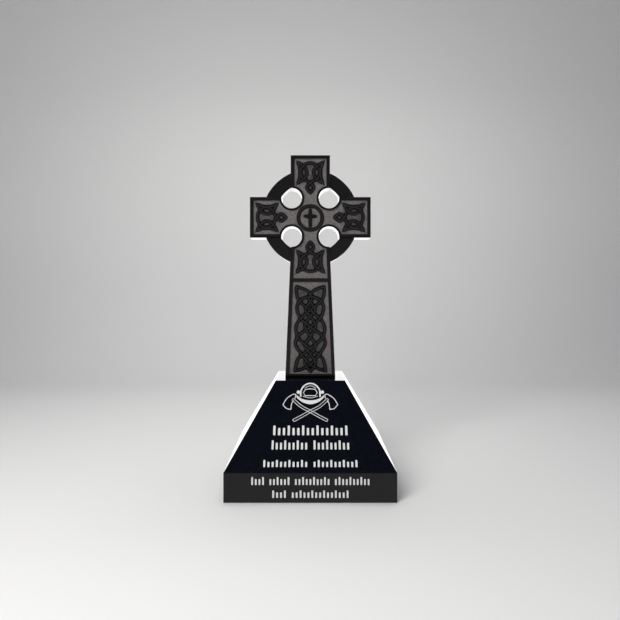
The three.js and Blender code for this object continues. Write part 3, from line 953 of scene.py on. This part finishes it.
def near_strands(strands, carving):
    """A function for a point of the field: how close raised work is, and how far strands enclose it."""
    points = [point for row, _, _ in strands for point in row]
    near = point_tree(points + medallion_lines(carving))
    wide = point_tree(points[::ENCLOSURE_STRIDE])
    share_each = carving.strand_step / (HOLLOW_AND_PAINTED_SHADE_REACH * math.sqrt(math.pi))

    def measure(x, y):
        beside = near.find_range((x, y, 0), HOLLOW_AND_PAINTED_SHADE_LIMIT)
        total = sum(math.exp(-((gap / HOLLOW_AND_PAINTED_SHADE_REACH) ** 2)) for _, _, gap in beside)
        sectors = set()
        for place, _, _ in wide.find_range((x, y, 0), ENCLOSURE_REACH):
            angle = math.atan2(place.y - y, place.x - x)
            sectors.add(int((angle + math.pi) / (2 * math.pi) * ENCLOSURE_SECTORS) % ENCLOSURE_SECTORS)
        covered = (len(sectors) / ENCLOSURE_SECTORS - OPEN_SHARE) / (CLOSED_SHARE - OPEN_SHARE)
        return min(1.0, total * share_each), max(0.0, min(1.0, covered))

    return measure


def fine_floor(stone, row, carving, measure):
    """Fills the field inside a row of vertices with small faces, dished beside the strands and marked with
    painted shade where strands are near or enclose it.
    """
    level = -row[0].co.y
    flat = [Vector((v.co.x, v.co.z)) for v in row]
    edges = [(i, (i + 1) % len(flat)) for i in range(len(flat))]
    low = Vector((min(p.x for p in flat), min(p.y for p in flat)))
    high = Vector((max(p.x for p in flat), max(p.y for p in flat)))
    step = carving.floor_step
    rise = step * ROW_PITCH
    grid = []
    for j in range(1, int((high.y - low.y) / rise)):
        shift = step / 2 if j % 2 else 0
        for i in range(1, int((high.x - low.x) / step)):
            grid.append(Vector((low.x + i * step + shift, low.y + j * rise)))
    points, _, faces, origins, _, _ = delaunay_2d_cdt(flat + grid, edges, [], 1, SAME_POINT)
    made = {}

    def vertex(i):
        if i not in made:
            rim = [k for k in origins[i] if k < len(row)]
            if rim:
                made[i] = row[rim[0]]
            else:
                x, y = points[i]
                near, inside = measure(x, y)
                # Each point dips beside the strands and keeps its amounts of painted shade
                made[i] = stone.mesh.verts.new((x, -(level - carving.hollow_and_painted_shade * near), y))
                made[i][stone.hollow_and_painted_shade] = near
                made[i][stone.painted_enclosed_shade] = inside * carving.shade
        return made[i]

    for triangle in faces:
        corners = [vertex(i) for i in triangle]
        if len(set(corners)) == 3:
            face = stone.mesh.faces.new(corners)
            face.material_index = BLASTED


# Base


def square_loop(stone, half, height, radius):
    """A square row of vertices, at a height, with rounded corners that each end in a short flat step."""
    row = []
    for quarter, (side_x, side_y) in enumerate(((1, 1), (-1, 1), (-1, -1), (1, -1))):
        middle = Vector((side_x, side_y)) * (half - radius)
        start = math.pi / 2 * quarter
        corner = list(arc_points(middle, radius, start, start + math.pi / 2, ROUND_STEPS))
        before = Vector((math.sin(start), -math.cos(start))) * FLAT_STEP
        after = Vector((-math.cos(start), -math.sin(start))) * FLAT_STEP
        for p in (corner[0] + before, *corner, corner[-1] + after):
            row.append(stone.mesh.verts.new((p.x, p.y, height)))
    return row


def base_body(stone, base):
    """The square band and the tapered block above it, with all edges eased."""
    wide = BASE_WIDTH / 2
    top = base.top_width / 2
    rise = BASE_HEIGHT - base.band_height
    lean = (wide - top) / math.hypot(rise, wide - top)
    upright = rise / math.hypot(rise, wide - top)
    soft = base.arris
    flat = soft + FLAT_STEP
    profile = [
        (wide - flat, 0),
        (wide - soft, 0),
        (wide - soft * 0.3, soft * 0.3),
        (wide, soft),
        (wide, flat),
        (wide, base.band_height - flat),
        (wide, base.band_height - soft * 0.5),
        (wide - soft * 0.5 * lean, base.band_height + soft * 0.5 * upright),
        (wide - flat * lean, base.band_height + flat * upright),
        (top + flat * lean, BASE_HEIGHT - flat * upright),
        (top + soft * lean, BASE_HEIGHT - soft * upright),
        (top + soft * lean * 0.1, BASE_HEIGHT - soft * 0.25),
        (top - soft, BASE_HEIGHT),
        (top - flat, BASE_HEIGHT),
    ]
    rows = [square_loop(stone, half, height, soft) for half, height in profile]
    stone.shell(rows, [POLISHED] * (len(rows) - 1))
    for row in (rows[0][::-1], rows[-1]):
        face = stone.mesh.faces.new(row)
        face.material_index = POLISHED


def stroke_prism(cutter, outline, to_face, depth):
    """A prism for cutting a groove: its outline lies in a face's plane, that to_face stands up."""
    low = [cutter.mesh.verts.new(to_face @ Vector((p.x, p.y, -depth))) for p in outline]
    high = [cutter.mesh.verts.new(to_face @ Vector((p.x, p.y, CUTTER_HEIGHT))) for p in outline]
    cutter.join(low, high, PAINTED)
    for row in (low[::-1], high):
        face = cutter.mesh.faces.new(row)
        face.material_index = PAINTED


def rounded_box(left, low, right, high, radius):
    """Corners of a rectangle with rounded corners, running anticlockwise."""
    points = []
    middles = ((right, high, -1, -1), (left, high, 1, -1), (left, low, 1, 1), (right, low, -1, 1))
    for quarter, (x, y, in_x, in_y) in enumerate(middles):
        middle = Vector((x + in_x * radius, y + in_y * radius))
        start = math.pi / 2 * quarter
        points += arc_points(middle, radius, start, start + math.pi / 2, STROKE_STEPS)
    return points


def stroke_rows(cutter, rows, face, to_face, base):
    """Rows of upright strokes in groups, every third one taller than the rest."""
    length, width_at = face
    for foot, height, span, groups in rows:
        low = foot * length
        rise = height * length
        reach = span * width_at(low + rise / 2)
        pitch = reach / (sum(groups) + len(groups) - 1)
        half = pitch * base.stroke_share / 2
        place = (pitch - reach) / 2
        number = 0
        for group in groups:
            for _ in range(group):
                top = low + rise * (1 if number % TALL_EVERY == 0 else base.low_stroke_share)
                outline = rounded_box(place - half, low, place + half, top, half * 0.5)
                stroke_prism(cutter, outline, to_face, base.stroke_depth)
                place += pitch
                number += 1
            place += pitch


def band_sides(points, width, closed=False):
    """Pairs of points on the two sides of a band of even width along a row of points."""
    last = len(points) - 1
    for i, point in enumerate(points):
        before = points[i - 1] if closed or i > 0 else point
        after = points[(i + 1) % len(points)] if closed or i < last else point
        along = (after - before).normalized()
        side = Vector((-along.y, along.x)) * width / 2
        yield point + side, point - side


def line_groove(cutter, points, width, to_face, depth, closed=False):
    """A groove of square section along a row of points, as a bar to cut with."""
    rings = []
    for left, right in band_sides(points, width, closed):
        corners = ((left, -depth), (right, -depth), (right, CUTTER_HEIGHT), (left, CUTTER_HEIGHT))
        rings.append([cutter.mesh.verts.new(to_face @ Vector((p.x, p.y, z))) for p, z in corners])
    pairs = list(zip(rings, rings[1:] + rings[:1]))
    for here, there in pairs if closed else pairs[:-1]:
        cutter.join(here, there, PAINTED)
    if not closed:
        for row in (rings[0], rings[-1][::-1]):
            face = cutter.mesh.faces.new(row)
            face.material_index = PAINTED


def ribbon(points, width):
    """The closed outline of a band of even width along a row of points."""
    left, right = zip(*band_sides(points, width))
    return [*left, *reversed(right)]


def emblem(cutter, face, to_face, base):
    """A helmet with a visor and a brim above two crossed axes, in thin lines and small filled shapes."""
    length, width_at = face
    foot = EMBLEM_FOOT * length
    height = EMBLEM_HEIGHT * length
    half = EMBLEM_SPAN * width_at(foot + height / 2) / 2
    thin, fine = base.thin_groove, base.fine_groove
    depth = base.stroke_depth

    def curve(stations, side=1):
        return spline([(side * x * half, foot + y * height) for x, y in stations], EMBLEM_STEP)

    def line(points, width, closed=False):
        line_groove(cutter, points, width, to_face, depth, closed)

    for side in (1, -1):
        line(ribbon(curve(HANDLE, side), base.handle_width), fine, True)
        for stations in (BLADE, HEAD, NECK, POLL):
            line(curve(stations, side), thin)
        knob = Vector((side * KNOB[0] * half, foot + KNOB[1] * height))
        outline = list(arc_points(knob, base.knob_radius, 0, 2 * math.pi, KNOB_STEPS))[:-1]
        stroke_prism(cutter, outline, to_face, depth)
    brim = curve(BRIM_TOP) + curve(BRIM_LOW)
    stroke_prism(cutter, brim, to_face, depth)
    line(curve(DOME), base.wide_groove)
    for stations in (COMB, RIDGE):
        line(curve(stations), fine)
    visor = [Vector((x * half, foot + y * height)) for x, y in VISOR]
    line(visor, thin, True)


def cut(piece, cutter):
    """Cuts one object out of another for good, keeping the cutter's own materials."""
    tool = piece.modifiers.new("grooves", "BOOLEAN")
    tool.operation = "DIFFERENCE"
    tool.solver = "EXACT"
    tool.use_self = True
    tool.object = cutter
    bpy.context.view_layer.update()
    graph = bpy.context.evaluated_depsgraph_get()
    carved = bpy.data.meshes.new_from_object(piece.evaluated_get(graph))
    if len(carved.polygons) <= len(piece.data.polygons):
        raise RuntimeError("the grooves weren't cut into " + piece.name)
    piece.modifiers.clear()
    piece.data = carved
    bpy.data.objects.remove(cutter)


def smoothed(piece, degrees):
    """Shades rounded edges smoothly and leaves the sharper ones crisp."""
    bpy.context.view_layer.objects.active = piece
    for other in bpy.context.selected_objects:
        other.select_set(False)
    piece.select_set(True)
    bpy.ops.object.shade_smooth_by_angle(angle=math.radians(degrees))
    piece.select_set(False)


def placed(piece, replaced):
    """Puts the piece on the part's one body, in the place of its node."""
    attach(piece, "root")
    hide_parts(replaced)


# Operators


class HEADSTONE_OT_cross(bpy.types.Operator):
    """Carves the cross, its ring and its knotwork from one slab"""

    bl_idname = "headstone.cross"
    bl_label = "Carve the Cross"

    def execute(self, context):
        settings = context.scene.headstone
        slab, carving, finish = settings.slab, settings.carving, settings.finish
        stone = Stone()
        strands = woven_strands(slab, carving)
        slab_body(stone, slab, carving, near_strands(strands, carving))
        ring(stone, slab)
        medallion(stone, slab, carving)
        for points, corners, dips in strands:
            strand_mesh(stone, points, corners, dips, slab, carving)
        stone.mesh.transform(Matrix.Translation((0, 0, CROSS_LOW.z + slab.centre_height)))
        granites = [
            polished_black_granite(finish),
            sandblasted_black_granite(finish),
            honed_black_granite(finish),
        ]
        piece = stone.finished("carved_cross", granites)
        smoothed(piece, CROSS_CREASE)
        placed(piece, "celtic_cross")
        return {"FINISHED"}


class HEADSTONE_OT_base(bpy.types.Operator):
    """Shapes the tapered base and cuts the painted strokes and the emblem into its front"""

    bl_idname = "headstone.base"
    bl_label = "Shape the Base"

    def execute(self, context):
        settings = context.scene.headstone
        base, finish = settings.base, settings.finish
        materials = [polished_black_granite(finish), white_enamel_paint(finish)]
        stone = Stone()
        base_body(stone, base)
        piece = stone.finished("carved_base", materials)
        rise = BASE_HEIGHT - base.band_height
        run = (BASE_WIDTH - base.top_width) / 2
        length = math.hypot(rise, run)
        stand = Matrix.Rotation(math.radians(90), 4, "X")
        band = Matrix.Translation((0, -BASE_WIDTH / 2, 0)) @ stand
        lean = Matrix.Rotation(-math.atan2(run, rise), 4, "X")
        slope = Matrix.Translation((0, -BASE_WIDTH / 2, base.band_height)) @ lean @ stand
        taper_face = (length, lambda up: BASE_WIDTH - 2 * up * run / length)
        cutter = Stone()
        stroke_rows(cutter, BAND_ROWS, (base.band_height, lambda up: BASE_WIDTH), band, base)
        stroke_rows(cutter, TAPER_ROWS, taper_face, slope, base)
        emblem(cutter, taper_face, slope, base)
        cut(piece, cutter.finished("grooves", materials))
        smoothed(piece, BASE_CREASE)
        placed(piece, "tapered_base")
        return {"FINISHED"}


class HEADSTONE_OT_stage(bpy.types.Operator):
    """Lays the pale floor and sets the soft studio light and the camera"""

    bl_idname = "headstone.stage"
    bl_label = "Set the Stage"

    def execute(self, context):
        settings = context.scene.headstone
        lay_floor(settings.finish)
        light_room(context.scene)
        aim_camera(context.scene, settings.stage)
        return {"FINISHED"}


# Stage


def lay_floor(finish):
    """One pale sheet: flat under the stone, and curving up behind it without a seam."""
    made, tree = material("matt_studio_paper")
    shader = node(tree, "ShaderNodeBsdfPrincipled", Base_Color=(*finish.floor, 1), Roughness=0.9)
    node(tree, "ShaderNodeOutputMaterial", Surface=shader.outputs["BSDF"])
    profile = [(PAPER_FRONT, 0.0)]
    for i in range(PAPER_STEPS + 1):
        angle = math.pi / 2 * i / PAPER_STEPS
        profile.append((PAPER_BEND + PAPER_RADIUS * math.sin(angle), PAPER_RADIUS * (1 - math.cos(angle))))
    profile.append((PAPER_BEND + PAPER_RADIUS, PAPER_TOP))
    vertices = [(x, y, z) for y, z in profile for x in (-PAPER_HALF_WIDTH, PAPER_HALF_WIDTH)]
    faces = [(2 * i, 2 * i + 1, 2 * i + 3, 2 * i + 2) for i in range(len(profile) - 1)]
    sheet = bpy.data.meshes.new("studio_paper")
    sheet.from_pydata(vertices, [], faces)
    sheet.materials.append(made)
    sheet.shade_smooth()
    paper = bpy.data.objects.new("studio_paper", sheet)
    paper.visible_glossy = False
    bpy.context.scene.collection.objects.link(paper)


def soft_light(name, place, target, width, height, power):
    """A soft box that lights the matt faces alone, so that the polished ones mirror only the room."""
    lamp = bpy.data.lights.new(name, "AREA")
    lamp.shape = "RECTANGLE"
    lamp.size = width
    lamp.size_y = height
    lamp.energy = power
    thing = bpy.data.objects.new(name, lamp)
    thing.location = place
    thing.rotation_euler = (Vector(target) - Vector(place)).to_track_quat("-Z", "Y").to_euler()
    thing.visible_glossy = False
    thing.visible_camera = False
    bpy.context.scene.collection.objects.link(thing)


def light_room(scene):
    """A pale room, bright behind the stone and dark in front and above, with three soft boxes."""
    world = bpy.data.worlds.new("pale_room")
    world.use_nodes = True
    scene.world = world
    tree = world.node_tree
    tree.nodes.clear()
    way = node(tree, "ShaderNodeTexCoord").outputs["Generated"]
    split = node(tree, "ShaderNodeSeparateXYZ", Vector=way)
    rise = node(tree, "ShaderNodeMapRange", Value=split.outputs["Z"], From_Min=-0.4, From_Max=0.6)
    front = node(tree, "ShaderNodeValToRGB", Fac=rise.outputs["Result"])
    set_stops(front, FRONT_GLOW)
    depth = node(tree, "ShaderNodeMapRange", Value=split.outputs["Y"], From_Min=-1.0, From_Max=1.0)
    back = node(tree, "ShaderNodeValToRGB", Fac=depth.outputs["Result"])
    set_stops(back, BACK_GLOW)
    turn = node(tree, "ShaderNodeMapRange", Value=split.outputs["Y"], From_Min=-0.6, From_Max=0.0)
    glow = node(tree, "ShaderNodeMix", {"data_type": "RGBA"}, Factor=turn.outputs["Result"])
    tree.links.new(front.outputs["Color"], glow.inputs[6])
    tree.links.new(back.outputs["Color"], glow.inputs[7])
    room = node(tree, "ShaderNodeBackground", Color=glow.outputs[2], Strength=ROOM_BRIGHTNESS)
    node(tree, "ShaderNodeOutputWorld", Surface=room.outputs["Background"])
    for name, (place, target, width, height, power) in SOFT_BOXES.items():
        soft_light(name, place, target, width, height, power)
    scene.view_settings.view_transform = "Standard"
    scene.view_settings.look = "None"


def aim_camera(scene, stage):
    """A level camera in front of the middle, its picture shifted so that the horizon lies where it should."""
    lens = bpy.data.cameras.new("camera")
    lens.sensor_width = 36
    lens.sensor_fit = "HORIZONTAL"
    lens.lens = stage.focal_pixels / stage.picture_side * lens.sensor_width
    lens.shift_y = -(stage.picture_side / 2 - stage.horizon_row) / stage.picture_side
    lens.shift_x = (stage.picture_side / 2 - stage.centre_column) / stage.picture_side
    lens.clip_end = 100
    camera = bpy.data.objects.new("camera", lens)
    camera.location = (0, -stage.camera_distance, stage.camera_height)
    camera.rotation_euler = (math.radians(90), 0, 0)
    scene.collection.objects.link(camera)
    scene.camera = camera


class HEADSTONE_PT_panel(bpy.types.Panel):
    """Lists the settings and the steps of the headstone"""

    bl_label = "Celtic Cross Headstone"
    bl_idname = "HEADSTONE_PT_panel"
    bl_space_type = "VIEW_3D"
    bl_region_type = "UI"
    bl_category = "Headstone"

    def draw(self, context):
        settings = context.scene.headstone
        groups = (
            (settings.slab, "headstone.cross"),
            (settings.carving, ""),
            (settings.base, "headstone.base"),
            (settings.finish, ""),
            (settings.stage, "headstone.stage"),
        )
        for group, step in groups:
            box = self.layout.box()
            for name in group.bl_rna.properties.keys():
                if name not in {"rna_type", "name"}:
                    box.prop(group, name)
            if step:
                box.operator(step)


CLASSES = (
    SlabSettings,
    CarvingSettings,
    BaseSettings,
    FinishSettings,
    StageSettings,
    HeadstoneSettings,
    HEADSTONE_OT_cross,
    HEADSTONE_OT_base,
    HEADSTONE_OT_stage,
    HEADSTONE_PT_panel,
)


def register():
    for made in CLASSES:
        bpy.utils.register_class(made)
    bpy.types.Scene.headstone = PointerProperty(type=HeadstoneSettings)


def unregister():
    del bpy.types.Scene.headstone
    for made in reversed(CLASSES):
        bpy.utils.unregister_class(made)


def main():
    register()
    bpy.ops.headstone.cross()
    bpy.ops.headstone.base()
    bpy.ops.headstone.stage()


if __name__ == "__main__":
    main()
